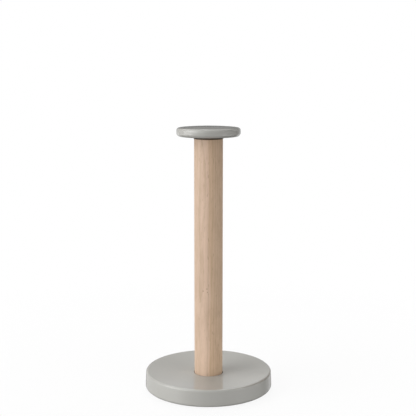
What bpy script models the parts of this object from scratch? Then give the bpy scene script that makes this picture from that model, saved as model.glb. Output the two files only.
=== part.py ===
"""Paper towel holder: dished base, wooden post and a cap that unscrews to load a roll.

The origin is on the table under the middle of the base, and +Z is up.
"""

import math

import bmesh
import bpy

MM = 0.001

# Overall sizes, in millimetres
BASE_RADIUS = 75.0
BASE_TOP_RADIUS = 74.4
BASE_UNDERSIDE_Z = 1.4
RIM_Z = 21.2
DISH_FLOOR_Z = 17.7
POST_RADIUS = 16.65
POST_TOP_Z = 296.3
CAP_RADIUS = 36.8
CAP_UNDERSIDE_Z = 299.1
CAP_EDGE_Z = 309.0
CAP_TOP_Z = 310.6

# Touching pieces keep this gap, and cutters run past the faces they cut
GAP = 0.3
CUTTER_OVERSHOOT = 1.0

# Base
RIM_ROUNDING = 2.2
FOOT_ROUNDING = 2.6
LANDING_RADIUS = 22.0
DISH_EDGE_INSET = 1.0
POST_CLEARANCE = 0.35
SOCKET_RADIUS = POST_RADIUS + POST_CLEARANCE
SOCKET_FLOOR_Z = 15.3
SOCKET_CHAMFER = 0.5
FOOT_RING_INNER_RADIUS = 56.0
HOLLOW_CEILING_Z = 10.0
HOLLOW_DRAFT = 1.5
BOSS_RADIUS = 27.0
BOSS_UNDERSIDE_Z = 3.0
COUNTERBORE_RADIUS = 10.5
COUNTERBORE_CEILING_Z = 10.8
BOLT_HOLE_RADIUS = 4.5

# Foot pads, let into the foot ring
PAD_COUNT = 4
PAD_RADIUS = 6.0
PAD_HEIGHT = 3.0
PAD_CHAMFER = 0.4
PAD_CIRCLE_RADIUS = 64.0

# Post
POST_CHAMFER = 0.3
INSERT_BORE_RADIUS = 6.3
INSERT_BORE_DEPTH = 25.0

# Cap and its washer
CAP_ROUNDING = 2.9
CAP_UNDERSIDE_ROUNDING = 3.8
STUD_SOCKET_RADIUS = 4.3
STUD_SOCKET_TOP_Z = 306.0
WASHER_THICKNESS = 2.2
WASHER_RADIUS = 19.4
WASHER_LOW_RADIUS = 17.1
WASHER_BAND = 0.7
WASHER_HOLE_RADIUS = 4.6

# M8 thread, and the extra radius of the nut thread that runs on it
THREAD_PITCH = 1.25
THREAD_CREST_RADIUS = 3.95
THREAD_ROOT_RADIUS = 3.3
THREAD_CLEARANCE = 0.25
THREAD_SEGMENTS = 12
THREAD_BLANK_RADIUS = THREAD_CREST_RADIUS + 0.3

# Hardware
STUD_LENGTH = 25.0
STUD_CHAMFER = 1.0
INSERT_RADIUS = 6.0
INSERT_LENGTH = 18.0
INSERT_INSET = 0.6
BARB_COUNT = 4
BARB_DEPTH = 0.6
BARB_SLOPE_SHARE = 0.85
BOLT_LENGTH = 30.0
BOLT_HEAD_RADIUS = 7.0
BOLT_HEAD_HEIGHT = 4.1
BOLT_HEAD_RIM = 0.6
BOLT_CROWN_RADIUS = 3.85
BOLT_SHANK_Z = 15.0
BOLT_SHANK_CHAMFER = 0.6
BOLT_CORE_RADIUS = THREAD_ROOT_RADIUS - 0.1
BOLT_CORE_INSET = 2.0
BOLT_THREAD_LAP = 0.7
BOLT_THREAD_CHAMFER = 0.9
BOLT_SOCKET_WIDTH = 5.0
BOLT_SOCKET_DEPTH = 2.6
FLAT_WASHER_RADIUS = 9.0
STEEL_WASHER_THICKNESS = 1.6
RUBBER_WASHER_THICKNESS = 1.2
WASHER_BOLT_HOLE_RADIUS = 4.3

ROUND_SEGMENTS = 48
SMALL_SEGMENTS = 24
SHARP_ANGLE = math.radians(35)
MERGE_DISTANCE = 0.001


def clear_scene():
    for item in list(bpy.data.objects):
        bpy.data.objects.remove(item, do_unlink=True)


def make_material(name, colour, roughness, metallic=0.0):
    material = bpy.data.materials.new(name)
    material.use_nodes = True
    shader = material.node_tree.nodes["Principled BSDF"]
    shader.inputs["Base Color"].default_value = (*colour, 1.0)
    shader.inputs["Roughness"].default_value = roughness
    shader.inputs["Metallic"].default_value = metallic
    return material


def arc(centre, radius, start, end, steps):
    """Points on an arc, angles in degrees from the outward direction towards +Z."""
    points = []
    for step in range(steps + 1):
        angle = math.radians(start + (end - start) * step / steps)
        points.append((centre[0] + radius * math.cos(angle), centre[1] + radius * math.sin(angle)))
    return points


def finish_mesh(mesh, name, material):
    """Close up the mesh, turn its faces outwards and return it as an object in metres."""
    bmesh.ops.remove_doubles(mesh, verts=mesh.verts, dist=MERGE_DISTANCE)
    bmesh.ops.recalc_face_normals(mesh, faces=mesh.faces)
    bmesh.ops.scale(mesh, vec=(MM, MM, MM), verts=mesh.verts)
    data = bpy.data.meshes.new(name)
    mesh.to_mesh(data)
    mesh.free()
    item = bpy.data.objects.new(name, data)
    bpy.context.scene.collection.objects.link(item)
    if material:
        data.materials.append(material)
    data.shade_smooth()
    data.set_sharp_from_angle(angle=SHARP_ANGLE)
    return item


def turn(name, outline, material, segments=ROUND_SEGMENTS):
    """Solid of revolution about Z from a closed outline of (radius, height) points."""
    mesh = bmesh.new()
    corners = [mesh.verts.new((radius, 0.0, height)) for radius, height in outline]
    edges = []
    for first, second in zip(corners, corners[1:] + corners[:1]):
        if first.co.x > 0.0 or second.co.x > 0.0:
            edges.append(mesh.edges.new((first, second)))
    bmesh.ops.spin(
        mesh,
        geom=corners + edges,
        cent=(0.0, 0.0, 0.0),
        axis=(0.0, 0.0, 1.0),
        angle=math.tau,
        steps=segments,
    )
    return finish_mesh(mesh, name, material)


def helix(name, low, high, clearance=0.0):
    """Right-hand V thread, a turn longer at each end than the span that it has to cover.

    Every thread starts from a whole number of pitches, so a bolt and its nut are in mesh.
    """
    thread_form = ((0.0, THREAD_ROOT_RADIUS), (0.5, THREAD_CREST_RADIUS))
    mesh = bmesh.new()
    first_turn = math.floor(low / THREAD_PITCH) - 1
    last_turn = math.ceil(high / THREAD_PITCH) + 1
    rows = []
    for thread_turn in range(first_turn, last_turn + 1):
        for fraction, radius in thread_form:
            row = []
            for segment in range(THREAD_SEGMENTS):
                around = segment / THREAD_SEGMENTS
                height = (thread_turn + fraction + around) * THREAD_PITCH
                reach = radius + clearance
                angle = math.tau * around
                row.append(mesh.verts.new((reach * math.cos(angle), reach * math.sin(angle), height)))
            rows.append(row)

    per_turn = len(thread_form)
    for index in range(len(rows) - 1):
        lower, upper = rows[index], rows[index + 1]
        for segment in range(THREAD_SEGMENTS - 1):
            mesh.faces.new((lower[segment], lower[segment + 1], upper[segment + 1], upper[segment]))
        if index + per_turn + 1 < len(rows):
            next_lower, next_upper = rows[index + per_turn], rows[index + per_turn + 1]
            mesh.faces.new((lower[-1], next_lower[0], next_upper[0], upper[-1]))

    bottom_loop = rows[0] + [rows[step][0] for step in range(per_turn, 0, -1)]
    top_loop = rows[-1] + [rows[-step][-1] for step in range(2, per_turn + 2)]
    for loop in (bottom_loop, top_loop):
        middle = mesh.verts.new((0.0, 0.0, sum(corner.co.z for corner in loop) / len(loop)))
        for first, second in zip(loop, loop[1:] + loop[:1]):
            mesh.faces.new((first, second, middle))
    return hide_cutter(finish_mesh(mesh, name, None))


def prism(name, sides, radius, low, high):
    """Upright prism, used as a cutter."""
    mesh = bmesh.new()
    bmesh.ops.create_cone(
        mesh,
        cap_ends=True,
        segments=sides,
        radius1=radius,
        radius2=radius,
        depth=high - low,
    )
    bmesh.ops.translate(mesh, vec=(0.0, 0.0, (low + high) / 2), verts=mesh.verts)
    return hide_cutter(finish_mesh(mesh, name, None))


def hide_cutter(item):
    item.hide_render = True
    item.display_type = "WIRE"
    return item


def combine(item, other, operation):
    modifier = item.modifiers.new(operation.lower() + "_" + other.name, "BOOLEAN")
    modifier.operation = operation
    modifier.solver = "EXACT"
    modifier.object = other


def dish_curve(steps=6):
    """The dish from the landing around the post out to the rim, part of one large sphere."""
    rim_centre_radius = BASE_TOP_RADIUS - RIM_ROUNDING
    rise = RIM_Z - DISH_FLOOR_Z
    sphere_radius = (rim_centre_radius**2 - LANDING_RADIUS**2) / (2 * rise)
    rim_slope = math.degrees(math.asin(rim_centre_radius / sphere_radius))
    points = []
    dish_width = rim_centre_radius - DISH_EDGE_INSET - LANDING_RADIUS
    for step in range(steps):
        radius = LANDING_RADIUS + dish_width * step / steps
        height = DISH_FLOOR_Z + (radius**2 - LANDING_RADIUS**2) / (2 * sphere_radius)
        points.append((radius, height))
    return points, rim_slope


def make_base(glaze):
    dish, rim_slope = dish_curve()
    rim_centre = (BASE_TOP_RADIUS - RIM_ROUNDING, RIM_Z - RIM_ROUNDING)
    foot_centre = (BASE_RADIUS - FOOT_ROUNDING, BASE_UNDERSIDE_Z + FOOT_ROUNDING)
    outline = [
        (BOLT_HOLE_RADIUS, SOCKET_FLOOR_Z),
        (SOCKET_RADIUS, SOCKET_FLOOR_Z),
        (SOCKET_RADIUS, DISH_FLOOR_Z - SOCKET_CHAMFER),
        (SOCKET_RADIUS + SOCKET_CHAMFER, DISH_FLOOR_Z),
    ]
    outline += dish
    outline += arc(rim_centre, RIM_ROUNDING, 90.0 + rim_slope, 0.0, 5)
    outline += arc(foot_centre, FOOT_ROUNDING, 0.0, -90.0, 3)
    outline += [
        (FOOT_RING_INNER_RADIUS, BASE_UNDERSIDE_Z),
        (FOOT_RING_INNER_RADIUS - HOLLOW_DRAFT, HOLLOW_CEILING_Z),
        (BOSS_RADIUS + HOLLOW_DRAFT, HOLLOW_CEILING_Z),
        (BOSS_RADIUS, BOSS_UNDERSIDE_Z),
        (COUNTERBORE_RADIUS, BOSS_UNDERSIDE_Z),
        (COUNTERBORE_RADIUS, COUNTERBORE_CEILING_Z),
        (BOLT_HOLE_RADIUS, COUNTERBORE_CEILING_Z),
    ]
    base = turn("base", outline, glaze)
    for number, (x, y) in enumerate(pad_places(), start=1):
        name = f"pad_recess_cutter_{number}"
        recess = prism(name, SMALL_SEGMENTS, PAD_RADIUS + GAP, 0.0, PAD_HEIGHT + GAP)
        recess.location = (x * MM, y * MM, 0.0)
        combine(base, recess, "DIFFERENCE")
    return base


def pad_places():
    """Centres of the foot pads, on the diagonals."""
    places = []
    for number in range(PAD_COUNT):
        angle = math.tau * (number + 0.5) / PAD_COUNT
        places.append((PAD_CIRCLE_RADIUS * math.cos(angle), PAD_CIRCLE_RADIUS * math.sin(angle)))
    return places


def make_foot_pads(rubber):
    outline = [
        (0.0, 0.0),
        (PAD_RADIUS - PAD_CHAMFER, 0.0),
        (PAD_RADIUS, PAD_CHAMFER),
        (PAD_RADIUS, PAD_HEIGHT),
        (0.0, PAD_HEIGHT),
    ]
    for number, (x, y) in enumerate(pad_places(), start=1):
        pad = turn(f"foot_pad_{number}", outline, rubber, SMALL_SEGMENTS)
        pad.location = (x * MM, y * MM, 0.0)


def make_post(wood):
    bottom = SOCKET_FLOOR_Z + GAP
    outline = [
        (0.0, bottom + INSERT_BORE_DEPTH),
        (INSERT_BORE_RADIUS, bottom + INSERT_BORE_DEPTH),
        (INSERT_BORE_RADIUS, bottom),
        (POST_RADIUS - POST_CHAMFER, bottom),
        (POST_RADIUS, bottom + POST_CHAMFER),
        (POST_RADIUS, POST_TOP_Z - POST_CHAMFER),
        (POST_RADIUS - POST_CHAMFER, POST_TOP_Z),
        (INSERT_BORE_RADIUS, POST_TOP_Z),
        (INSERT_BORE_RADIUS, POST_TOP_Z - INSERT_BORE_DEPTH),
        (0.0, POST_TOP_Z - INSERT_BORE_DEPTH),
    ]
    turn("post", outline, wood)


def make_insert(name, low, brass):
    """Barbed insert with an M8 thread right through it."""
    barb_length = INSERT_LENGTH / BARB_COUNT
    outline = [(0.0, low)]
    for barb in range(BARB_COUNT):
        barb_low = low + barb * barb_length
        outline.append((INSERT_RADIUS - BARB_DEPTH, barb_low))
        outline.append((INSERT_RADIUS, barb_low + barb_length * BARB_SLOPE_SHARE))
    outline.append((INSERT_RADIUS - BARB_DEPTH, low + INSERT_LENGTH))
    outline.append((0.0, low + INSERT_LENGTH))
    insert = turn(name, outline, brass, SMALL_SEGMENTS)
    tap = helix(name + "_tap", low, low + INSERT_LENGTH, THREAD_CLEARANCE)
    combine(insert, tap, "DIFFERENCE")


def rod_outline(low, high, low_chamfer, high_chamfer):
    """Blank that trims a thread to its length, with a chamfer at each end."""
    return [
        (0.0, low),
        (THREAD_BLANK_RADIUS - low_chamfer, low),
        (THREAD_BLANK_RADIUS, low + low_chamfer),
        (THREAD_BLANK_RADIUS, high - high_chamfer),
        (THREAD_BLANK_RADIUS - high_chamfer, high),
        (0.0, high),
    ]


def make_stud(steel):
    high = STUD_SOCKET_TOP_Z - GAP
    low = high - STUD_LENGTH
    stud = turn("cap_stud", rod_outline(low, high, STUD_CHAMFER, STUD_CHAMFER), steel, SMALL_SEGMENTS)
    combine(stud, helix("cap_stud_thread", low, high), "INTERSECT")


def make_cap(glaze):
    top_centre = (CAP_RADIUS - CAP_ROUNDING, CAP_EDGE_Z - CAP_ROUNDING)
    under = CAP_UNDERSIDE_ROUNDING
    bottom_centre = (CAP_RADIUS - under, CAP_UNDERSIDE_Z + under)
    dome_rise = CAP_TOP_Z - CAP_EDGE_Z
    dome_steps = 4
    outline = []
    for step in range(dome_steps):
        radius = top_centre[0] * step / dome_steps
        outline.append((radius, CAP_TOP_Z - dome_rise * (step / dome_steps) ** 2))
    outline += arc(top_centre, CAP_ROUNDING, 90.0, 0.0, 4)
    outline += arc(bottom_centre, under, 0.0, -90.0, 5)
    outline += [
        (STUD_SOCKET_RADIUS, CAP_UNDERSIDE_Z),
        (STUD_SOCKET_RADIUS, STUD_SOCKET_TOP_Z),
        (0.0, STUD_SOCKET_TOP_Z),
    ]
    turn("cap", outline, glaze)


def make_cap_washer(rubber):
    """Tapered rubber ring between the post and the cap."""
    low = POST_TOP_Z + GAP
    high = low + WASHER_THICKNESS
    outline = [
        (WASHER_HOLE_RADIUS, low),
        (WASHER_LOW_RADIUS, low),
        (WASHER_RADIUS, high - WASHER_BAND),
        (WASHER_RADIUS, high),
        (WASHER_HOLE_RADIUS, high),
    ]
    turn("cap_washer", outline, rubber)


def make_flat_washer(name, outer_radius, low, thickness, material):
    outline = [
        (WASHER_BOLT_HOLE_RADIUS, low),
        (outer_radius, low),
        (outer_radius, low + thickness),
        (WASHER_BOLT_HOLE_RADIUS, low + thickness),
    ]
    turn(name, outline, material, SMALL_SEGMENTS)


def make_base_fastening(steel, rubber):
    """Bolt, steel washer and rubber washer under the base, from the ceramic downwards."""
    rubber_low = COUNTERBORE_CEILING_Z - GAP - RUBBER_WASHER_THICKNESS
    steel_low = rubber_low - GAP - STEEL_WASHER_THICKNESS
    head_high = steel_low - GAP
    head_low = head_high - BOLT_HEAD_HEIGHT
    tip = head_high + BOLT_LENGTH
    radius = FLAT_WASHER_RADIUS
    make_flat_washer("base_rubber_washer", radius, rubber_low, RUBBER_WASHER_THICKNESS, rubber)
    make_flat_washer("base_steel_washer", radius, steel_low, STEEL_WASHER_THICKNESS, steel)

    crown_width = BOLT_HEAD_RADIUS - BOLT_CROWN_RADIUS
    crown_height = BOLT_HEAD_HEIGHT - BOLT_HEAD_RIM
    crown_steps = 5
    outline = [(0.0, head_low)]
    for step in range(crown_steps + 1):
        angle = math.pi / 2 * step / crown_steps
        reach = BOLT_CROWN_RADIUS + crown_width * math.sin(angle)
        outline.append((reach, head_low + crown_height * (1 - math.cos(angle))))
    outline += [
        (BOLT_HEAD_RADIUS, head_high),
        (THREAD_CREST_RADIUS, head_high),
        (THREAD_CREST_RADIUS, BOLT_SHANK_Z),
        (BOLT_CORE_RADIUS, BOLT_SHANK_Z + BOLT_SHANK_CHAMFER),
        (BOLT_CORE_RADIUS, tip - BOLT_CORE_INSET),
        (0.0, tip - BOLT_CORE_INSET),
    ]
    bolt = turn("base_bolt", outline, steel, SMALL_SEGMENTS)

    rod = rod_outline(BOLT_SHANK_Z - BOLT_THREAD_LAP, tip, BOLT_THREAD_CHAMFER, STUD_CHAMFER)
    blank = hide_cutter(turn("base_bolt_blank", rod, None, SMALL_SEGMENTS))
    combine(blank, helix("base_bolt_thread", BOLT_SHANK_Z, tip), "INTERSECT")
    combine(bolt, blank, "UNION")

    socket_radius = BOLT_SOCKET_WIDTH / math.sqrt(3)
    socket_low = head_low - CUTTER_OVERSHOOT
    socket = prism("base_bolt_socket_cutter", 6, socket_radius, socket_low, head_low + BOLT_SOCKET_DEPTH)
    combine(bolt, socket, "DIFFERENCE")


def main():
    clear_scene()
    glaze = make_material("grey_glaze", (0.50, 0.49, 0.46), 0.12)
    wood = make_material("pale_wood", (0.55, 0.42, 0.31), 0.5)
    rubber = make_material("black_rubber", (0.03, 0.03, 0.03), 0.7)
    steel = make_material("zinc_steel", (0.62, 0.62, 0.60), 0.3, 1.0)
    brass = make_material("brass", (0.72, 0.52, 0.24), 0.3, 1.0)

    make_base(glaze)
    make_foot_pads(rubber)
    make_post(wood)
    bottom_insert_low = SOCKET_FLOOR_Z + GAP + INSERT_INSET
    make_insert("post_bottom_insert", bottom_insert_low, brass)
    make_insert("post_top_insert", POST_TOP_Z - INSERT_INSET - INSERT_LENGTH, brass)
    make_base_fastening(steel, rubber)
    make_cap_washer(rubber)
    make_cap(glaze)
    make_stud(steel)


main()
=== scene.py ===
"""Looks of the paper towel holder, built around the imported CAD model.

Every piece is a finely turned mesh in the CAD model's own frame, in metres, with +Z up.
"""

import math

import bmesh
import bpy
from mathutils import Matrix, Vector


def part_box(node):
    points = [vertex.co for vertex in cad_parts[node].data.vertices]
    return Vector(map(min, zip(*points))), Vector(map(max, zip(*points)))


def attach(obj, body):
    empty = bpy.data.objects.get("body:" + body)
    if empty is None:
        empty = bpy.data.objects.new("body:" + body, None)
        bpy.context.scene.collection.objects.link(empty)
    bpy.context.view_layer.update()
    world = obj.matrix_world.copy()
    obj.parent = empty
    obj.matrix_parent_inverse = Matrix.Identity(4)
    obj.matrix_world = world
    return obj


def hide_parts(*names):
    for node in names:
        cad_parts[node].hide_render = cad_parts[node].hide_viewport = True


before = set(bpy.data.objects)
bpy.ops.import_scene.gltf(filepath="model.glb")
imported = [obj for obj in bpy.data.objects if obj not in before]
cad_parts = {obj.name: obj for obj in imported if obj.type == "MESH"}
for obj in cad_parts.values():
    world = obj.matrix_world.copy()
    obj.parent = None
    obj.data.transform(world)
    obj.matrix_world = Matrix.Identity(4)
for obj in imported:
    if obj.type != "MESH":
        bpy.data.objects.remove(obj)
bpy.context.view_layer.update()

MM = 0.001
ROUND_SEGMENTS = 192
EDGE_STEPS = 16
FOOT_STEPS = 10
SMALL_SEGMENTS = 64
THREAD_SEGMENTS = 32
SHARP_ANGLE = math.radians(32)
# Points of a cut mesh that are closer than this, in metres, become one
MERGE_DISTANCE = 1e-5
# A gap in a cut mesh with at most this many sides is filled
LARGEST_GAP_SIDES = 8
# How far a cutting solid reaches past the face that it opens, in millimetres
CUTTER_OVERSHOOT = 1.0

# Camera: in front of the holder and a little above it
CAMERA_DISTANCE = 1.0385
CAMERA_HEIGHT = 0.3768
CAMERA_TILT = math.radians(8.82)
CAMERA_SIDEWAYS = -0.0006
LENS = 78.2
SENSOR = 36.0


# ---------------------------------------------------------------- meshes


def fillet(previous, corner, following, radius, steps):
    """Arc that rounds one corner of an outline."""
    to_previous = (Vector(previous) - Vector(corner)).normalized()
    to_following = (Vector(following) - Vector(corner)).normalized()
    half_angle = to_previous.angle(to_following) / 2
    reach = radius / math.tan(half_angle)
    centre = Vector(corner) + (to_previous + to_following).normalized() * radius / math.sin(half_angle)
    first = Vector(corner) + to_previous * reach - centre
    last = Vector(corner) + to_following * reach - centre
    sweep = first.angle(last)
    points = []
    for step in range(steps + 1):
        part = step / steps
        blend = (first * math.sin((1 - part) * sweep) + last * math.sin(part * sweep)) / math.sin(sweep)
        points.append(tuple(centre + blend))
    return points


def rounded(outline, steps=6):
    """Closed outline from (radius, height, rounding) corners, with an arc at each rounded corner."""
    points = []
    for index, (radius, height, rounding) in enumerate(outline):
        previous = outline[index - 1][:2]
        following = outline[(index + 1) % len(outline)][:2]
        if rounding:
            points += fillet(previous, (radius, height), following, rounding, steps)
        else:
            points.append((radius, height))
    return points


def turned(name, outline, segments=ROUND_SEGMENTS, places=((0.0, 0.0),)):
    """Solid of revolution from a closed (radius, height) outline in millimetres, at each place."""
    mesh = bmesh.new()
    for place_x, place_y in places:
        rings = []
        for radius, height in outline:
            count = segments if radius > 0.0 else 1
            ring = []
            for segment in range(count):
                angle = math.tau * segment / segments
                x = place_x + radius * math.cos(angle)
                y = place_y + radius * math.sin(angle)
                ring.append(mesh.verts.new((x * MM, y * MM, height * MM)))
            rings.append(ring)
        for lower, upper in zip(rings, rings[1:] + rings[:1]):
            join_rings(mesh, lower, upper)
    bmesh.ops.recalc_face_normals(mesh, faces=mesh.faces)
    return make_object(name, mesh)


def join_rings(mesh, lower, upper):
    if len(lower) == 1 and len(upper) == 1:
        return
    count = max(len(lower), len(upper))
    for segment in range(count):
        after = (segment + 1) % count
        if len(lower) == 1:
            corners = (lower[0], upper[after], upper[segment])
        elif len(upper) == 1:
            corners = (lower[segment], lower[after], upper[0])
        else:
            corners = (lower[segment], lower[after], upper[after], upper[segment])
        mesh.faces.new(corners)


def smooth(data):
    data.shade_smooth()
    data.set_sharp_from_angle(angle=SHARP_ANGLE)


def make_object(name, mesh):
    data = bpy.data.meshes.new(name)
    mesh.to_mesh(data)
    mesh.free()
    smooth(data)
    piece = bpy.data.objects.new(name, data)
    bpy.context.scene.collection.objects.link(piece)
    return piece


def finish_piece(piece, body, node_names, material):
    """Put the piece on its body, in place of the CAD nodes that it stands for."""
    piece.data.materials.clear()
    piece.data.materials.append(material)
    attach(piece, body)
    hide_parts(*node_names)


def node_size(node):
    """(radius, lowest height, highest height) of a round CAD node on the axis, in millimetres."""
    low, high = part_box(node)
    return high.x / MM, low.z / MM, high.z / MM


def arc(centre, radius, start, end, steps):
    """Points on an arc, angles in degrees from the outward direction towards +Z."""
    points = []
    for step in range(steps + 1):
        angle = math.radians(start + (end - start) * step / steps)
        points.append((centre[0] + radius * math.cos(angle), centre[1] + radius * math.sin(angle)))
    return points


# ---------------------------------------------------------------- pieces

# Base
DISH_FLOOR_Z = 17.7
DISH_EDGE_INSET = 0.6
LANDING_RADIUS = 22.0
BASE_TOP_RADIUS = 74.4
RIM_ROUNDING = 2.2
# Lean of the base's side, in degrees
SIDE_DRAFT = 2.0
FOOT_ROUNDING = 2.6
SOCKET_CLEARANCE = 0.35
SOCKET_FLOOR_Z = 15.3
FOOT_RING_INNER_RADIUS = 56.0
HOLLOW_CEILING_Z = 10.0
HOLLOW_DRAFT = 1.5
BOSS_RADIUS = 27.0
BOSS_UNDERSIDE_Z = 3.0
COUNTERBORE_RADIUS = 10.5
COUNTERBORE_CEILING_Z = 10.8
BOLT_HOLE_RADIUS = 4.5
PAD_COUNT = 4
PAD_GAP = 0.3
PAD_CHAMFER = 0.4

# Post
POST_ROUNDING = 0.3
INSERT_BORE_RADIUS = 6.3
INSERT_BORE_DEPTH = 25.0

# Cap and its washer
CAP_ROUNDING = 2.9
CAP_UNDERSIDE_ROUNDING = 3.8
CAP_DOME_RISE = 1.6
CAP_DOME_STEPS = 24
# Slope of the dome where it meets the rounded edge, in degrees
CAP_DOME_SLOPE = 2.0
STUD_SOCKET_RADIUS = 4.3
STUD_SOCKET_TOP_Z = 306.0
STUD_SOCKET_CHAMFER = 0.2
WASHER_HOLE_RADIUS = 4.6
WASHER_LOW_RADIUS = 17.1
WASHER_BAND = 0.7

# M8 thread
THREAD_PITCH = 1.25
THREAD_CREST_RADIUS = 3.95
THREAD_ROOT_RADIUS = 3.3
THREAD_CLEARANCE = 0.25
THREAD_BLANK_RADIUS = THREAD_CREST_RADIUS + 0.3
THREAD_CHAMFER = 1.0
# The thread's section over one pitch, as (share of the pitch, radius), with a slightly round crest
THREAD_FORM = (
    (0.0, THREAD_ROOT_RADIUS),
    (0.42, THREAD_CREST_RADIUS - 0.03),
    (0.5, THREAD_CREST_RADIUS),
    (0.58, THREAD_CREST_RADIUS - 0.03),
)

# Inserts and the bolt in the base
BARB_COUNT = 4
BARB_DEPTH = 0.6
# Height of a barb's tip as a share of the barb
BARB_TIP = 0.85
BOLT_HEAD_HEIGHT = 4.1
BOLT_HEAD_RIM = 0.6
BOLT_CROWN_RADIUS = 3.85
BOLT_CROWN_STEPS = 12
BOLT_SHANK_RADIUS = 4.0
# Where the plain shank ends, and how far into it the threaded rod reaches
BOLT_SHANK_Z = 15.0
BOLT_SHANK_CHAMFER = 0.6
BOLT_CORE_RADIUS = THREAD_ROOT_RADIUS - 0.1
BOLT_THREAD_LAP = 2.5
BOLT_SOCKET_RADIUS = 5.0 / math.sqrt(3)
BOLT_SOCKET_DEPTH = 2.6
BOLT_SOCKET_SIDES = 6
FLAT_WASHER_HOLE_RADIUS = 4.3
STEEL_WASHER_ROUNDING = 0.15
SOFT_WASHER_ROUNDING = 0.1


def dish_curve(rim_z, steps=48):
    """The dish from the landing round the post out to the rim, and its slope there in degrees."""
    rim_radius = BASE_TOP_RADIUS - RIM_ROUNDING
    sphere_radius = (rim_radius**2 - LANDING_RADIUS**2) / (2 * (rim_z - DISH_FLOOR_Z))
    width = rim_radius - DISH_EDGE_INSET - LANDING_RADIUS
    points = []
    for step in range(1, steps):
        radius = LANDING_RADIUS + width * step / steps
        rise = (radius**2 - LANDING_RADIUS**2) / (2 * sphere_radius)
        points.append((radius, DISH_FLOOR_Z + rise, 0.0))
    return points, math.degrees(math.asin(rim_radius / sphere_radius))


def base_outline():
    radius, low, high = node_size("base")
    socket = node_size("post")[0] + SOCKET_CLEARANCE
    dish, slope = dish_curve(high)
    rim_centre = (BASE_TOP_RADIUS - RIM_ROUNDING, high - RIM_ROUNDING)
    foot_centre = (radius - FOOT_ROUNDING, low + FOOT_ROUNDING)
    edge = arc(rim_centre, RIM_ROUNDING, 90.0 + slope, SIDE_DRAFT, EDGE_STEPS)
    edge += arc(foot_centre, FOOT_ROUNDING, SIDE_DRAFT, -90.0, FOOT_STEPS)
    return rounded(
        [
            (BOLT_HOLE_RADIUS, SOCKET_FLOOR_Z, 0.0),
            (socket, SOCKET_FLOOR_Z, 0.3),
            (socket, DISH_FLOOR_Z, 0.5),
            (LANDING_RADIUS, DISH_FLOOR_Z, 0.0),
        ]
        + dish
        + [(*point, 0.0) for point in edge]
        + [
            (FOOT_RING_INNER_RADIUS, low, 1.5),
            (FOOT_RING_INNER_RADIUS - HOLLOW_DRAFT, HOLLOW_CEILING_Z, 2.0),
            (BOSS_RADIUS + HOLLOW_DRAFT, HOLLOW_CEILING_Z, 2.0),
            (BOSS_RADIUS, BOSS_UNDERSIDE_Z, 1.0),
            (COUNTERBORE_RADIUS, BOSS_UNDERSIDE_Z, 0.8),
            (COUNTERBORE_RADIUS, COUNTERBORE_CEILING_Z, 0.5),
            (BOLT_HOLE_RADIUS, COUNTERBORE_CEILING_Z, 0.0),
        ]
    )


def pad_places():
    """(x, y, radius, top) of the foot pads, from their CAD nodes, in millimetres."""
    places = []
    for number in range(1, PAD_COUNT + 1):
        low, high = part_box(f"foot_pad_{number}")
        middle = (low + high) / 2
        places.append((middle.x / MM, middle.y / MM, (high.x - low.x) / 2 / MM, high.z / MM))
    return places


def close_up(data):
    """Merge the needlessly close points that a boolean leaves, and close the gaps where they were."""
    mesh = bmesh.new()
    mesh.from_mesh(data)
    bmesh.ops.remove_doubles(mesh, verts=mesh.verts, dist=MERGE_DISTANCE)
    bmesh.ops.dissolve_degenerate(mesh, dist=MERGE_DISTANCE, edges=mesh.edges)
    bmesh.ops.triangulate(mesh, faces=mesh.faces)
    bmesh.ops.dissolve_degenerate(mesh, dist=MERGE_DISTANCE, edges=mesh.edges)
    gaps = [edge for edge in mesh.edges if edge.is_boundary]
    bmesh.ops.holes_fill(mesh, edges=gaps, sides=LARGEST_GAP_SIDES)
    bmesh.ops.triangulate(mesh, faces=mesh.faces)
    mesh.to_mesh(data)
    mesh.free()


def cut(piece, cutter, operation="DIFFERENCE"):
    """Boolean with an object that is then removed."""
    modifier = piece.modifiers.new("cut", "BOOLEAN")
    modifier.operation = operation
    modifier.solver = "EXACT"
    modifier.object = cutter
    evaluated = piece.evaluated_get(bpy.context.evaluated_depsgraph_get())
    data = bpy.data.meshes.new_from_object(evaluated)
    close_up(data)
    piece.modifiers.clear()
    piece.data = data
    smooth(data)
    bpy.data.objects.remove(cutter, do_unlink=True)
    return piece


def make_base(glaze):
    base = turned("glazed_base", base_outline())
    places = pad_places()
    radius, top = places[0][2] + PAD_GAP, places[0][3] + PAD_GAP
    bottom = -CUTTER_OVERSHOOT
    outline = [(0.0, bottom), (radius, bottom), (radius, top), (0.0, top)]
    cut(base, turned("pad_recesses", outline, SMALL_SEGMENTS, [place[:2] for place in places]))
    finish_piece(base, "holder", ["base"], glaze)


def make_feet(rubber):
    for number, (x, y, radius, top) in enumerate(pad_places(), start=1):
        corners = [(0.0, 0.0, 0.0), (radius, 0.0, PAD_CHAMFER), (radius, top, 0.1), (0.0, top, 0.0)]
        foot = turned(f"rubber_foot_{number}", rounded(corners), SMALL_SEGMENTS, [(x, y)])
        finish_piece(foot, "holder", [f"foot_pad_{number}"], rubber)


def make_post(wood):
    radius, low, high = node_size("post")
    corners = [
        (0.0, low + INSERT_BORE_DEPTH, 0.0),
        (INSERT_BORE_RADIUS, low + INSERT_BORE_DEPTH, 0.0),
        (INSERT_BORE_RADIUS, low, 0.2),
        (radius, low, POST_ROUNDING),
        (radius, high, POST_ROUNDING),
        (INSERT_BORE_RADIUS, high, 0.2),
        (INSERT_BORE_RADIUS, high - INSERT_BORE_DEPTH, 0.0),
        (0.0, high - INSERT_BORE_DEPTH, 0.0),
    ]
    post = turned("beech_post", rounded(corners))
    finish_piece(post, "holder", ["post"], wood)


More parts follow.
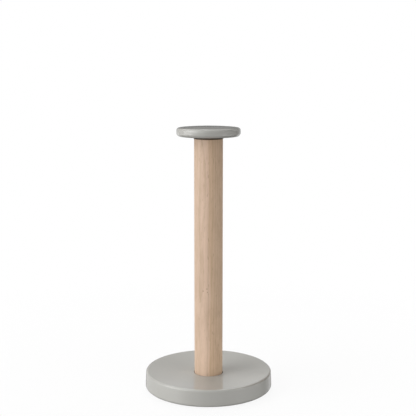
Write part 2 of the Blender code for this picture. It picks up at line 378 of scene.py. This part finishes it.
def make_cap(glaze):
    radius, low, high = node_size("cap")
    edge = high - CAP_DOME_RISE
    flat_radius = radius - CAP_ROUNDING
    outline = []
    for step in range(CAP_DOME_STEPS):
        part = step / CAP_DOME_STEPS
        outline.append((flat_radius * part, high - CAP_DOME_RISE * part**2))
    edge_centre = (flat_radius, edge - CAP_ROUNDING)
    outline += arc(edge_centre, CAP_ROUNDING, 90.0 - CAP_DOME_SLOPE, 0.0, EDGE_STEPS)
    under = CAP_UNDERSIDE_ROUNDING
    outline += arc((radius - under, low + under), under, 0.0, -90.0, EDGE_STEPS)
    outline += [
        (STUD_SOCKET_RADIUS + STUD_SOCKET_CHAMFER, low),
        (STUD_SOCKET_RADIUS, low + STUD_SOCKET_CHAMFER),
        (STUD_SOCKET_RADIUS, STUD_SOCKET_TOP_Z),
        (0.0, STUD_SOCKET_TOP_Z),
    ]
    finish_piece(turned("glazed_cap", outline), "cap_assembly", ["cap"], glaze)


def make_cap_washer(rubber):
    """Tapered rubber ring between the post and the cap."""
    radius, low, high = node_size("cap_washer")
    corners = [
        (WASHER_HOLE_RADIUS, low, 0.2),
        (WASHER_LOW_RADIUS, low, 0.3),
        (radius, high - WASHER_BAND, 0.3),
        (radius, high, 0.25),
        (WASHER_HOLE_RADIUS, high, 0.2),
    ]
    washer = turned("rubber_cap_washer", rounded(corners))
    finish_piece(washer, "washer_ring", ["cap_washer"], rubber)


def thread(low, high, clearance=0.0):
    """Right-hand thread, a turn longer at each end than the span, in mesh with the CAD threads."""
    mesh = bmesh.new()
    rows = []
    for turn in range(math.floor(low / THREAD_PITCH) - 1, math.ceil(high / THREAD_PITCH) + 2):
        for fraction, radius in THREAD_FORM:
            row = []
            for segment in range(THREAD_SEGMENTS):
                around = segment / THREAD_SEGMENTS
                height = (turn + fraction + around) * THREAD_PITCH
                x = (radius + clearance) * math.cos(math.tau * around)
                y = (radius + clearance) * math.sin(math.tau * around)
                row.append(mesh.verts.new((x * MM, y * MM, height * MM)))
            rows.append(row)
    per_turn = len(THREAD_FORM)
    for index, (lower, upper) in enumerate(zip(rows, rows[1:])):
        for segment in range(THREAD_SEGMENTS - 1):
            mesh.faces.new((lower[segment], lower[segment + 1], upper[segment + 1], upper[segment]))
        if index + per_turn + 1 < len(rows):
            next_lower, next_upper = rows[index + per_turn], rows[index + per_turn + 1]
            mesh.faces.new((lower[-1], next_lower[0], next_upper[0], upper[-1]))
    bottom_loop = rows[0] + [rows[step][0] for step in range(per_turn, 0, -1)]
    top_loop = rows[-1] + [rows[-step][-1] for step in range(2, per_turn + 2)]
    for loop in (bottom_loop, top_loop):
        middle = mesh.verts.new((0.0, 0.0, sum(corner.co.z for corner in loop) / len(loop)))
        for first, second in zip(loop, loop[1:] + loop[:1]):
            mesh.faces.new((first, second, middle))
    bmesh.ops.recalc_face_normals(mesh, faces=mesh.faces)
    return make_object("thread", mesh)


def threaded_rod(name, low, high):
    """Threaded rod with a chamfer at each end."""
    chamfered = THREAD_BLANK_RADIUS - THREAD_CHAMFER
    outline = [
        (0.0, low),
        (chamfered, low),
        (THREAD_BLANK_RADIUS, low + THREAD_CHAMFER),
        (THREAD_BLANK_RADIUS, high - THREAD_CHAMFER),
        (chamfered, high),
        (0.0, high),
    ]
    return cut(turned(name, outline, SMALL_SEGMENTS), thread(low, high), "INTERSECT")


def make_stud(steel):
    low, high = node_size("cap_stud")[1:]
    finish_piece(threaded_rod("threaded_stud", low, high), "cap_assembly", ["cap_stud"], steel)


def make_inserts(brass):
    """Barbed inserts in both ends of the post, with an M8 thread right through."""
    for node, name in (("post_top_insert", "top_insert"), ("post_bottom_insert", "bottom_insert")):
        radius, low, high = node_size(node)
        barb_length = (high - low) / BARB_COUNT
        corners = [(0.0, low, 0.0)]
        for barb in range(BARB_COUNT):
            barb_low = low + barb * barb_length
            corners.append((radius - BARB_DEPTH, barb_low, 0.0))
            corners.append((radius, barb_low + barb_length * BARB_TIP, 0.05))
        corners += [(radius - BARB_DEPTH, high, 0.2), (0.0, high, 0.0)]
        insert = turned(name, rounded(corners, 3), SMALL_SEGMENTS)
        cut(insert, thread(low, high, THREAD_CLEARANCE))
        finish_piece(insert, "holder", [node], brass)


def make_bolt(steel):
    """Button-head bolt that holds the post on the base."""
    radius, head_low, tip = node_size("base_bolt")
    head_high = head_low + BOLT_HEAD_HEIGHT
    crown_height = BOLT_HEAD_HEIGHT - BOLT_HEAD_RIM
    outline = [(0.0, head_low)]
    for step in range(BOLT_CROWN_STEPS + 1):
        angle = math.pi / 2 * step / BOLT_CROWN_STEPS
        reach = BOLT_CROWN_RADIUS + (radius - BOLT_CROWN_RADIUS) * math.sin(angle)
        outline.append((reach, head_low + crown_height * (1 - math.cos(angle))))
    shank_end = BOLT_SHANK_Z + BOLT_SHANK_CHAMFER
    outline += [
        (radius, head_high),
        (BOLT_SHANK_RADIUS, head_high),
        (BOLT_SHANK_RADIUS, BOLT_SHANK_Z),
        (BOLT_CORE_RADIUS, shank_end),
        (0.0, shank_end),
    ]
    bolt = turned("button_bolt", outline, SMALL_SEGMENTS)
    low, high = head_low - CUTTER_OVERSHOOT, head_low + BOLT_SOCKET_DEPTH
    outline = [(0.0, low), (BOLT_SOCKET_RADIUS, low), (BOLT_SOCKET_RADIUS, high), (0.0, high)]
    cut(bolt, turned("bolt_socket", outline, BOLT_SOCKET_SIDES))
    cut(bolt, threaded_rod("bolt_thread", BOLT_SHANK_Z - BOLT_THREAD_LAP, tip), "UNION")
    finish_piece(bolt, "holder", ["base_bolt"], steel)


def make_flat_washer(name, node, material, rounding):
    radius, low, high = node_size(node)
    corners = [
        (FLAT_WASHER_HOLE_RADIUS, low, rounding),
        (radius, low, rounding),
        (radius, high, rounding),
        (FLAT_WASHER_HOLE_RADIUS, high, rounding),
    ]
    washer = turned(name, rounded(corners, 4), SMALL_SEGMENTS)
    finish_piece(washer, "holder", [node], material)


# ---------------------------------------------------------------- materials

# Glaze
GLAZE_GREYS = ((0.438, 0.432, 0.405), (0.468, 0.462, 0.435))
GLAZE_SPECK = (0.20, 0.19, 0.17)
GLAZE_ROUGHNESS = (0.01, 0.035)
GLAZE_IOR = 1.5
# Rims darkened brown, partly thin glaze over the clay and partly a painted dark reflection: radius and
# height of the middle of the edge, and how far from it the darkening reaches, in millimetres
BASE_EDGE = (BASE_TOP_RADIUS - 0.7, 20.3, 1.7)
CAP_EDGE = (36.8, 304.4, 3.2)
CAP_EDGE_SHARE = 0.5
# Brown of the rims: thin glaze, and a painted dark reflection on the right-hand side
THIN_GLAZE_AND_DARK_REFLECTION = (0.16, 0.115, 0.075)
# The painted dark reflection on the rims grows towards the right: where that starts and ends, in
# metres, and the most it does
DARK_REFLECTION_SPAN = (0.0, 0.075)
DARK_REFLECTION_SHARE = 0.60
# Unglazed clay on the foot ring, below this height and facing down
BARE_CLAY = ((0.50, 0.45, 0.38), (0.62, 0.57, 0.49))
BARE_HEIGHT = (0.0018, 0.0028)
BARE_FACING = (-0.9, -0.7)
BARE_ROUGHNESS = 0.75

# Beech: the growth layers' direction across the post, their thickness and waviness in metres
LAYER_DIRECTION = (0.45, 0.90)
LAYER_THICKNESS = 0.0026
LAYER_WAVE = 0.009
WOOD_LIGHT = (0.622, 0.460, 0.345)
WOOD_DARK = (0.480, 0.342, 0.238)
# A pale streak and the browner heartwood beside it: where each starts and ends across the post, in
# millimetres, and its tint
STREAK_START = (-11.5, -6.0)
STREAK_END = (-0.5, 3.5)
STREAK_TINT = (1.10, 1.10, 1.11)
HEART_START = (-1.5, 3.0)
HEART_TINT = (1.08, 1.055, 0.975)
# The most that the streaks wander sideways, in metres
STREAK_DRIFT = 0.0015
# Shares of the growth layers, the fibres and the cloudy zones in the wood's tone, and the range used
LAYER_SHARE = 0.22
FIBRE_SHARE = 0.52
ZONE_SHARE = 0.55
TONE_RANGE = (0.34, 0.98)
FLECK_COLOUR = (0.33, 0.22, 0.14)
FLECK_STRENGTH = 0.38
WOOD_ROUGHNESS = (0.48, 0.62)
WOOD_SPECULAR = 0.35
# Places and sizes of the pin knots on the front of the post, in millimetres
PIN_KNOTS = (
    ((-6.2, -15.4, 120.3), (1.7, 1.7, 2.0)),
    ((-1.9, -16.5, 123.0), (1.4, 1.4, 1.8)),
    ((-1.2, -16.6, 119.0), (1.2, 1.2, 1.6)),
)
KNOT_COLOUR = (0.22, 0.13, 0.07)
KNOT_STRENGTH = 0.75

RUBBER_GREYS = ((0.018, 0.018, 0.018), (0.034, 0.033, 0.032))
RUBBER_ROUGHNESS = (0.5, 0.7)
# Light tone, dark tone and roughness of each metal, and how much rougher its tool marks make it
STEEL_LOOK = ((0.66, 0.66, 0.64), (0.52, 0.53, 0.52), 0.22)
BRASS_LOOK = ((0.78, 0.58, 0.28), (0.64, 0.46, 0.21), 0.2)
MARK_ROUGHNESS = 0.18


def add(tree, kind, inputs=None, **settings):
    """New shader node, with its settings, and its inputs as values or as sockets to link."""
    node = tree.nodes.new(kind)
    for name, value in settings.items():
        setattr(node, name, value)
    for name, value in (inputs or {}).items():
        if isinstance(value, bpy.types.NodeSocket):
            tree.links.new(value, node.inputs[name])
        else:
            node.inputs[name].default_value = value
    return node


def math_node(tree, operation, first, second=0.0):
    return add(tree, "ShaderNodeMath", {0: first, 1: second}, operation=operation).outputs[0]


def smooth_step(tree, value, low, high, out_low=0.0, out_high=1.0):
    """The value taken smoothly from one range to another, and held at the ends."""
    inputs = {"Value": value, 1: low, 2: high, 3: out_low, 4: out_high}
    return add(tree, "ShaderNodeMapRange", inputs, interpolation_type="SMOOTHSTEP").outputs[0]


def mix_colour(tree, factor, first, second, blend_type="MIX"):
    node = add(tree, "ShaderNodeMix", {0: factor}, data_type="RGBA", blend_type=blend_type)
    for index, value in ((6, first), (7, second)):
        if isinstance(value, bpy.types.NodeSocket):
            tree.links.new(value, node.inputs[index])
        else:
            node.inputs[index].default_value = (*value, 1.0)
    return node.outputs[2]


def stretched(tree, coordinates, scale):
    """Coordinates multiplied by a number on each axis; a small one draws the pattern out."""
    inputs = {0: coordinates, 1: scale}
    return add(tree, "ShaderNodeVectorMath", inputs, operation="MULTIPLY").outputs[0]


def noise(tree, coordinates, scale, detail=2.0, roughness=0.5):
    """Noise from 0 to 1, with about this many patches a metre."""
    inputs = {"Vector": coordinates, "Scale": scale, "Detail": detail, "Roughness": roughness}
    return add(tree, "ShaderNodeTexNoise", inputs).outputs["Fac"]


def bump(tree, height, distance, strength=1.0, normal=None):
    """Normal of a surface with relief of this depth in metres, over another normal if given."""
    inputs = {"Height": height, "Distance": distance, "Strength": strength}
    if normal is not None:
        inputs["Normal"] = normal
    return add(tree, "ShaderNodeBump", inputs).outputs[0]


def new_material(name):
    """Material, its node tree, its shader and the object coordinates, which are in metres."""
    material = bpy.data.materials.new(name)
    material.use_nodes = True
    tree = material.node_tree
    shader = tree.nodes["Principled BSDF"]
    coordinates = add(tree, "ShaderNodeTexCoord").outputs["Object"]
    return material, tree, shader, coordinates


def math_chain(tree, operation, *values):
    """Sum or product of several values."""
    result = values[0]
    for value in values[1:]:
        result = math_node(tree, operation, result, value)
    return result


def length(tree, first, second):
    """Distance from two offsets at right angles."""
    first = math_node(tree, "MULTIPLY", first, first)
    second = math_node(tree, "MULTIPLY", second, second)
    return math_node(tree, "SQRT", math_node(tree, "ADD", first, second))


def glaze_edge(tree, split, radius, height, width):
    """1 on the edge of a turned piece, fading to 0 at the width from it; sizes in millimetres."""
    from_axis = length(tree, split.outputs["X"], split.outputs["Y"])
    outwards = math_node(tree, "SUBTRACT", from_axis, radius * MM)
    upwards = math_node(tree, "SUBTRACT", split.outputs["Z"], height * MM)
    return smooth_step(tree, length(tree, outwards, upwards), 0.0, width * MM, 1.0, 0.0)


def glaze_material():
    """Glossy warm grey glaze, cloudy, with rims darkened brown on the right-hand side, partly as thin
    glaze and partly as a painted dark reflection, and with bare clay on the foot ring.
    """
    material, tree, shader, coordinates = new_material("grey_glaze")
    split = add(tree, "ShaderNodeSeparateXYZ", {0: coordinates})
    colour = mix_colour(tree, noise(tree, coordinates, 28.0, 3.0), *GLAZE_GREYS)
    speck = smooth_step(tree, noise(tree, coordinates, 1400.0, 1.0), 0.70, 0.78, 0.0, 0.25)
    colour = mix_colour(tree, speck, colour, GLAZE_SPECK)

    # Brown rims: thin glaze at the edges, plus a painted dark reflection that only the right-hand side
    # gets
    cap_edge = math_node(tree, "MULTIPLY", glaze_edge(tree, split, *CAP_EDGE), CAP_EDGE_SHARE)
    edge = math_node(tree, "ADD", glaze_edge(tree, split, *BASE_EDGE), cap_edge)
    painted_reflection_side = smooth_step(tree, split.outputs["X"], *DARK_REFLECTION_SPAN, 0.0, DARK_REFLECTION_SHARE)
    uneven = smooth_step(tree, noise(tree, coordinates, 90.0, 2.0), 0.3, 0.7, 0.75, 1.0)
    colour = mix_colour(tree, math_chain(tree, "MULTIPLY", edge, painted_reflection_side, uneven), colour, THIN_GLAZE_AND_DARK_REFLECTION)

    facing = add(tree, "ShaderNodeTexCoord").outputs["Normal"]
    facing_z = add(tree, "ShaderNodeSeparateXYZ", {0: facing}).outputs["Z"]
    near_table = smooth_step(tree, split.outputs["Z"], *BARE_HEIGHT, 1.0, 0.0)
    downwards = smooth_step(tree, facing_z, *BARE_FACING, 1.0, 0.0)
    bare = math_node(tree, "MULTIPLY", near_table, downwards)
    clay = mix_colour(tree, noise(tree, coordinates, 1800.0, 4.0), *BARE_CLAY)
    tree.links.new(mix_colour(tree, bare, colour, clay), shader.inputs["Base Color"])

    gloss = smooth_step(tree, noise(tree, coordinates, 60.0, 2.0), 0.3, 0.7, *GLAZE_ROUGHNESS)
    rough = math_node(tree, "MAXIMUM", gloss, math_node(tree, "MULTIPLY", bare, BARE_ROUGHNESS))
    tree.links.new(rough, shader.inputs["Roughness"])
    ripple = bump(tree, noise(tree, coordinates, 45.0, 1.0), 0.0003, 0.12)
    peel = bump(tree, noise(tree, coordinates, 420.0, 1.0), 0.00002, 0.25, ripple)
    tree.links.new(peel, shader.inputs["Normal"])
    shader.inputs["IOR"].default_value = GLAZE_IOR
    return material


def spot(tree, coordinates, place, size):
    """1 at the place, in millimetres, fading to 0 at its edge."""
    corner = tuple(value * MM for value in place)
    offset = add(tree, "ShaderNodeVectorMath", {0: coordinates, 1: corner}, operation="SUBTRACT")
    scale = tuple(2 / (value * MM) for value in size)
    across = stretched(tree, offset.outputs[0], scale)
    distance = add(tree, "ShaderNodeVectorMath", {0: across}, operation="LENGTH").outputs["Value"]
    return smooth_step(tree, distance, 0.4, 1.1, 1.0, 0.0)


def wood_tone(tree, coordinates, split, fibre):
    """How dark the wood is, from 0 to 1: growth layers, fibres and cloudy zones."""
    warp = noise(tree, stretched(tree, coordinates, (1.0, 1.0, 0.12)), 45.0, 2.0)
    across = math_node(tree, "MULTIPLY", split.outputs["X"], LAYER_DIRECTION[0])
    along = math_node(tree, "MULTIPLY", split.outputs["Y"], LAYER_DIRECTION[1])
    wave = math_node(tree, "MULTIPLY", warp, LAYER_WAVE)
    layer = math_chain(tree, "ADD", across, along, wave)
    ring = math_node(tree, "FRACT", math_node(tree, "DIVIDE", layer, LAYER_THICKNESS))
    late_wood = smooth_step(tree, ring, 0.45, 1.0, 0.0, LAYER_SHARE)
    zone = noise(tree, stretched(tree, coordinates, (1.0, 1.0, 0.3)), 150.0, 3.0)
    fibres = math_node(tree, "MULTIPLY", fibre, FIBRE_SHARE)
    zones = math_node(tree, "MULTIPLY", zone, ZONE_SHARE)
    return smooth_step(tree, math_chain(tree, "ADD", late_wood, fibres, zones), *TONE_RANGE)


def wood_streaks(tree, coordinates, split, colour):
    """Tint the pale streak and the heartwood, which wander a little up the post."""
    drift = noise(tree, stretched(tree, coordinates, (0.2, 0.2, 0.3)), 40.0, 1.0)
    drift = smooth_step(tree, drift, 0.2, 0.8, -STREAK_DRIFT, STREAK_DRIFT)
    place = math_node(tree, "ADD", split.outputs["X"], drift)
    streak_start, streak_end, heart = (
        smooth_step(tree, place, low * MM, high * MM)
        for low, high in (STREAK_START, STREAK_END, HEART_START)
    )
    streak = math_node(tree, "SUBTRACT", streak_start, streak_end)
    colour = mix_colour(tree, streak, colour, STREAK_TINT, "MULTIPLY")
    return mix_colour(tree, heart, colour, HEART_TINT, "MULTIPLY")


def wood_material():
    """Pale, straight-grained beech: growth layers, fine fibres, short ray flecks, three pin knots."""
    material, tree, shader, coordinates = new_material("pale_beech")
    split = add(tree, "ShaderNodeSeparateXYZ", {0: coordinates})
    fibre = noise(tree, stretched(tree, coordinates, (1.0, 1.0, 0.07)), 1300.0, 3.0, 0.6)
    tone = wood_tone(tree, coordinates, split, fibre)
    colour = mix_colour(tree, tone, WOOD_LIGHT, WOOD_DARK)
    colour = wood_streaks(tree, coordinates, split, colour)

    fleck = noise(tree, stretched(tree, coordinates, (1.0, 1.0, 0.17)), 800.0, 1.0)
    fleck = smooth_step(tree, fleck, 0.65, 0.74, 0.0, FLECK_STRENGTH)
    colour = mix_colour(tree, fleck, colour, FLECK_COLOUR)
    for place, size in PIN_KNOTS:
        knot = math_node(tree, "MULTIPLY", spot(tree, coordinates, place, size), KNOT_STRENGTH)
        colour = mix_colour(tree, knot, colour, KNOT_COLOUR)
    tree.links.new(colour, shader.inputs["Base Color"])

    rough = smooth_step(tree, fibre, 0.2, 0.8, *WOOD_ROUGHNESS)
    tree.links.new(rough, shader.inputs["Roughness"])
    tree.links.new(bump(tree, fibre, 0.00006, 0.6), shader.inputs["Normal"])
    shader.inputs["Specular IOR Level"].default_value = WOOD_SPECULAR
    return material


def rubber_material():
    """Matt black rubber with a fine grain."""
    material, tree, shader, coordinates = new_material("black_rubber")
    grain = noise(tree, coordinates, 1600.0, 3.0)
    tree.links.new(mix_colour(tree, grain, *RUBBER_GREYS), shader.inputs["Base Color"])
    rough = smooth_step(tree, grain, 0.3, 0.7, *RUBBER_ROUGHNESS)
    tree.links.new(rough, shader.inputs["Roughness"])
    tree.links.new(bump(tree, grain, 0.00005, 0.5), shader.inputs["Normal"])
    return material


def metal_material(name, light, dark, polish):
    """Turned metal: fine tool marks round the axis, cloudy colour."""
    material, tree, shader, coordinates = new_material(name)
    cloud = smooth_step(tree, noise(tree, coordinates, 700.0, 3.0), 0.3, 0.7)
    tree.links.new(mix_colour(tree, cloud, light, dark), shader.inputs["Base Color"])
    marks = noise(tree, stretched(tree, coordinates, (1.0, 1.0, 14.0)), 600.0, 2.0)
    rough = smooth_step(tree, marks, 0.3, 0.7, polish, polish + MARK_ROUGHNESS)
    tree.links.new(rough, shader.inputs["Roughness"])
    tree.links.new(bump(tree, marks, 0.00001, 0.5), shader.inputs["Normal"])
    shader.inputs["Metallic"].default_value = 1.0
    return material


# ---------------------------------------------------------------- studio

SECTORS = 12
# Light from all round, seen by the object and not by the camera: for each band, its lowest
# elevation in degrees, and the brightness in each sector from the camera's side round by the left.
# These levels and the softboxes' were fitted, so that the shading follows the photograph's.
STUDIO_BANDS = (
    (-90.0, (0.01,) * SECTORS),
    (-25.0, (0.00, 0.30, 1.36, 0.72, 0.47, 0.67, 0.00, 0.73, 0.04, 0.62, 1.18, 0.37)),
    (0.0, (0.00, 4.17, 7.56, 2.39, 0.00, 0.35, 0.15, 0.61, 0.19, 0.00, 0.00, 0.07)),
    (14.0, (0.00, 0.49, 2.49, 0.00, 0.00, 0.19, 0.00, 0.05, 0.73, 0.00, 0.95, 0.00)),
    (35.0, (0.00, 0.00, 1.59, 2.45, 0.00, 1.55, 5.41, 0.00, 0.00, 0.27, 1.26, 0.60)),
    (62.0, (0.49,) * SECTORS),
)
BRIGHTEST = 7.57
BAND_SOFTNESS = math.radians(3)
KEY_AZIMUTH = math.radians(78)
CHEST = (0.0, 0.0, 0.2)
FOOT = (0.0, 0.0, 0.05)
# Name, place, target, width and height in metres, and radiance of each softbox
SOFTBOXES = (
    ("middle_key", (-math.sin(KEY_AZIMUTH), -math.cos(KEY_AZIMUTH), 0.30), CHEST, 0.68, 0.30, 1.874),
    ("high_key", (-math.sin(KEY_AZIMUTH), -math.cos(KEY_AZIMUTH), 1.0), CHEST, 0.95, 0.40, 1.802),
    ("card", (0.0, 0.36, 0.14), (0.0, 0.0, 0.14), 0.37, 0.14, 0.235),
    ("wide_card", (0.0, 0.37, 0.16), (0.0, 0.0, 0.16), 0.9, 0.2, 0.321),
    ("fill_right", (0.55, -0.2, 0.10), FOOT, 0.6, 0.2, 2.135),
    ("fill_front", (0.45, -0.6, 0.10), FOOT, 0.6, 0.2, 1.001),
)
FLOOR_RADIUS = 0.9
FLOOR_GREY = 0.92
FLOOR_ROUGHNESS = 0.9
FLOOR_SPECULAR = 0.1
# The floor is mostly clear at the object, and all clear from the second distance on
FLOOR_FADE = (0.12, 0.6)
FLOOR_CLEARNESS = 0.90


def aim(item, target):
    direction = Vector(target) - item.location
    item.rotation_mode = "QUATERNION"
    item.rotation_quaternion = direction.to_track_quat("-Z", "Y")


def softbox(name, place, target, width, height, radiance):
    """Even rectangular light that the camera doesn't see."""
    data = bpy.data.lights.new(name, "AREA")
    data.shape = "RECTANGLE"
    data.size = width
    data.size_y = height
    data.energy = radiance * math.pi * width * height
    lamp = bpy.data.objects.new(name, data)
    lamp.location = place
    lamp.visible_camera = False
    bpy.context.scene.collection.objects.link(lamp)
    aim(lamp, target)


def around_ramp(tree, turn, values):
    """Brightness round the horizon, from even sectors; the first is the camera's."""
    ramp = add(tree, "ShaderNodeValToRGB", {0: turn})
    elements = ramp.color_ramp.elements
    for sector in range(1, len(values)):
        elements.new(sector / len(values))
    for element, value in zip(elements, [*values, values[0]]):
        level = value / BRIGHTEST
        element.color = (level, level, level, 1.0)
    return ramp.outputs[0]


def make_world():
    """White for the camera, and the soft grey surround for the light and the reflections."""
    world = bpy.data.worlds.new("studio")
    bpy.context.scene.world = world
    world.use_nodes = True
    tree = world.node_tree
    tree.nodes.clear()
    direction = add(tree, "ShaderNodeTexCoord").outputs["Generated"]
    split = add(tree, "ShaderNodeSeparateXYZ", {0: direction})
    away = math_node(tree, "MULTIPLY", split.outputs["Y"], -1.0)
    left = math_node(tree, "MULTIPLY", split.outputs["X"], -1.0)
    angle = math_node(tree, "ARCTAN2", left, away)
    turn = math_node(tree, "FRACT", math_node(tree, "DIVIDE", angle, math.tau))
    elevation = math_node(tree, "ARCSINE", split.outputs["Z"])
    light = around_ramp(tree, turn, STUDIO_BANDS[0][1])
    for lowest, values in STUDIO_BANDS[1:]:
        level = math.radians(lowest)
        part = smooth_step(tree, elevation, level - BAND_SOFTNESS, level + BAND_SOFTNESS)
        light = mix_colour(tree, part, light, around_ramp(tree, turn, values))
    studio = add(tree, "ShaderNodeBackground", {"Color": light, "Strength": BRIGHTEST})
    white = add(tree, "ShaderNodeBackground", {"Color": (1.0, 1.0, 1.0, 1.0), "Strength": 1.0})
    seen = add(tree, "ShaderNodeLightPath").outputs["Is Camera Ray"]
    both = add(tree, "ShaderNodeMixShader", {0: seen, 1: studio.outputs[0], 2: white.outputs[0]})
    add(tree, "ShaderNodeOutputWorld", {0: both.outputs[0]})


def make_floor():
    """Pale round floor, nearly clear, that fades out into the white behind it."""
    mesh = bmesh.new()
    bmesh.ops.create_circle(mesh, cap_ends=True, segments=96, radius=FLOOR_RADIUS)
    data = bpy.data.meshes.new("floor")
    mesh.to_mesh(data)
    mesh.free()
    floor = bpy.data.objects.new("floor", data)
    bpy.context.scene.collection.objects.link(floor)
    material, tree, shader, coordinates = new_material("pale_floor")
    shader.inputs["Base Color"].default_value = (FLOOR_GREY, FLOOR_GREY, FLOOR_GREY, 1.0)
    shader.inputs["Roughness"].default_value = FLOOR_ROUGHNESS
    shader.inputs["Specular IOR Level"].default_value = FLOOR_SPECULAR
    distance = add(tree, "ShaderNodeVectorMath", {0: coordinates}, operation="LENGTH").outputs["Value"]
    fade = smooth_step(tree, distance, *FLOOR_FADE, FLOOR_CLEARNESS, 1.0)
    clear = add(tree, "ShaderNodeBsdfTransparent")
    both = add(tree, "ShaderNodeMixShader", {0: fade, 1: shader.outputs[0], 2: clear.outputs[0]})
    tree.links.new(both.outputs[0], tree.nodes["Material Output"].inputs[0])
    data.materials.append(material)


def make_camera():
    data = bpy.data.cameras.new("camera")
    data.lens = LENS
    data.sensor_width = SENSOR
    camera = bpy.data.objects.new("camera", data)
    camera.location = (CAMERA_SIDEWAYS, -CAMERA_DISTANCE, CAMERA_HEIGHT)
    camera.rotation_euler = (math.pi / 2 - CAMERA_TILT, 0.0, 0.0)
    bpy.context.scene.collection.objects.link(camera)
    bpy.context.scene.camera = camera


def make_studio():
    """Large softboxes on the left, low fill on the right and two white cards behind."""
    bpy.context.scene.view_settings.view_transform = "Standard"
    for name, place, target, width, height, radiance in SOFTBOXES:
        softbox(name, place, target, width, height, radiance)
    make_world()
    make_floor()
    make_camera()


make_studio()
glaze = glaze_material()
rubber = rubber_material()
steel = metal_material("zinc_steel", *STEEL_LOOK)
brass = metal_material("plain_brass", *BRASS_LOOK)
make_base(glaze)
make_feet(rubber)
make_post(wood_material())
make_inserts(brass)
make_bolt(steel)
make_flat_washer("zinc_washer", "base_steel_washer", steel, STEEL_WASHER_ROUNDING)
make_flat_washer("soft_washer", "base_rubber_washer", rubber, SOFT_WASHER_ROUNDING)
make_cap_washer(rubber)
make_cap(glaze)
make_stud(steel)
